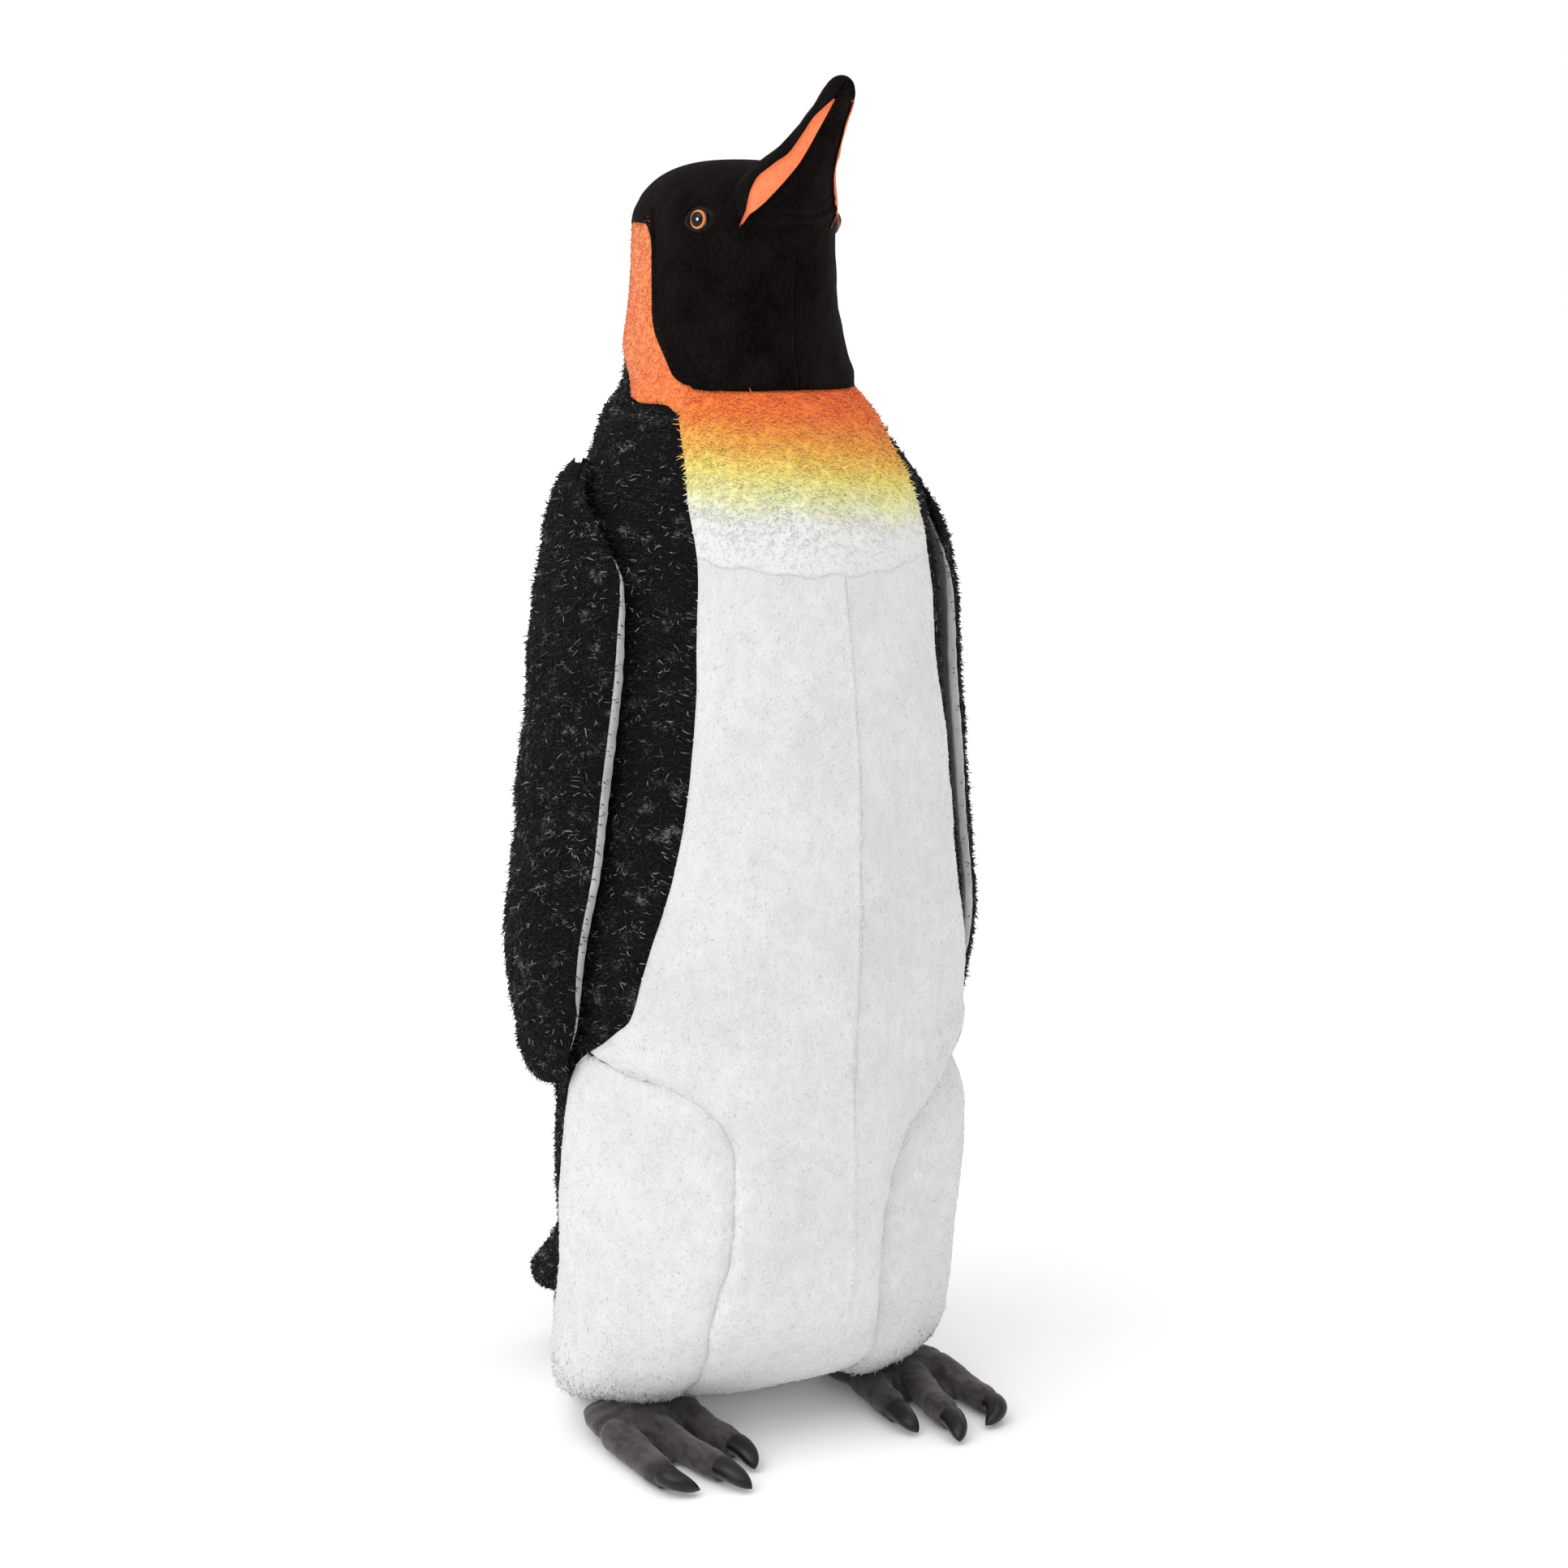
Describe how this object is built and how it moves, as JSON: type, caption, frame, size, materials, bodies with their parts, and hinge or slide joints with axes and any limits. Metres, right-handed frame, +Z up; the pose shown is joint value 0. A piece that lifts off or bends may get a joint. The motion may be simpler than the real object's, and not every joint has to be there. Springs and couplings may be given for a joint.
{
  "type": "plush penguin",
  "caption": "Standing stuffed penguin of sewn plush panels over fibre stuffing, with hinged side flippers, a lifting tail flap, toed feet and a weighted flat base.",
  "frame": {"origin": "on the floor under the middle of the overall box", "axes": "+Z up, -Y the way the penguin faces, +X its left side"},
  "size_m": [0.4, 0.3748, 1.0414],
  "materials": {
    "white_plush": "short pile",
    "speckled_fur": "long pile",
    "graded_plush": "curly pile",
    "orange_plush": "short pile",
    "black_velour": "velour",
    "coral_velour": "velour",
    "grey_lining": "satin",
    "foot_velour": "velour",
    "claw_vinyl": "gloss",
    "eye_plastic": "gloss",
    "washer_plastic": "matte",
    "fibre_fill": "fibre",
    "ballast_cloth": "woven",
    "base_stiffener": "matte"
  },
  "bodies": {
    "torso": {"body_stuffing": "fibre_fill", "ballast_bag": "ballast_cloth", "base_board": "base_stiffener", "base_panel": "white_plush", "underside_panel": "white_plush", "seat_panel": "white_plush", "rump_panel": "speckled_fur", "back_panel_l": "speckled_fur", "back_panel_r": "speckled_fur", "chest_panel": "graded_plush", "belly_panel_l": "white_plush", "belly_panel_r": "white_plush", "leg_panel_l": "white_plush", "leg_panel_r": "white_plush", "neck_band_l": "orange_plush", "neck_band_r": "orange_plush", "head_panel_l": "black_velour", "head_panel_r": "black_velour", "head_stuffing": "fibre_fill", "eye_l": "eye_plastic", "eye_r": "eye_plastic", "eye_washer_l": "washer_plastic", "eye_washer_r": "washer_plastic", "eyelid_l": "black_velour", "eyelid_r": "black_velour", "beak_upper": "black_velour", "beak_stripe_l": "coral_velour", "beak_stripe_r": "coral_velour", "beak_lower": "black_velour", "beak_stuffing": "fibre_fill", "foot_upper_l": "foot_velour", "foot_upper_r": "foot_velour", "foot_sole_l": "foot_velour", "foot_sole_r": "foot_velour", "foot_stuffing_l": "fibre_fill", "foot_stuffing_r": "fibre_fill", "claw_inner_l": "claw_vinyl", "claw_middle_l": "claw_vinyl", "claw_outer_l": "claw_vinyl", "claw_inner_r": "claw_vinyl", "claw_middle_r": "claw_vinyl", "claw_outer_r": "claw_vinyl"},
    "flipper_left": {"flipper_outer_l": "speckled_fur", "flipper_lining_l": "grey_lining", "flipper_stuffing_l": "fibre_fill"},
    "flipper_right": {"flipper_outer_r": "speckled_fur", "flipper_lining_r": "grey_lining", "flipper_stuffing_r": "fibre_fill"},
    "tail": {"tail_top": "speckled_fur", "tail_underside": "speckled_fur", "tail_stuffing": "fibre_fill"}
  },
  "joints": [
    {"name": "flipper_left_swing", "type": "hinge", "parent": "torso", "child": "flipper_left", "pos_m": [0.124, 0.002, 0.764], "axis": [0, -0.7341, -0.679], "range_deg": [0, 50]},
    {"name": "flipper_right_swing", "type": "hinge", "parent": "torso", "child": "flipper_right", "pos_m": [-0.124, 0.002, 0.764], "axis": [0, 0.7341, 0.679], "range_deg": [0, 50]},
    {"name": "tail_lift", "type": "hinge", "parent": "torso", "child": "tail", "pos_m": [0, 0.1275, 0.194], "axis": [1, 0, 0], "range_deg": [0, 20]}
  ]
}
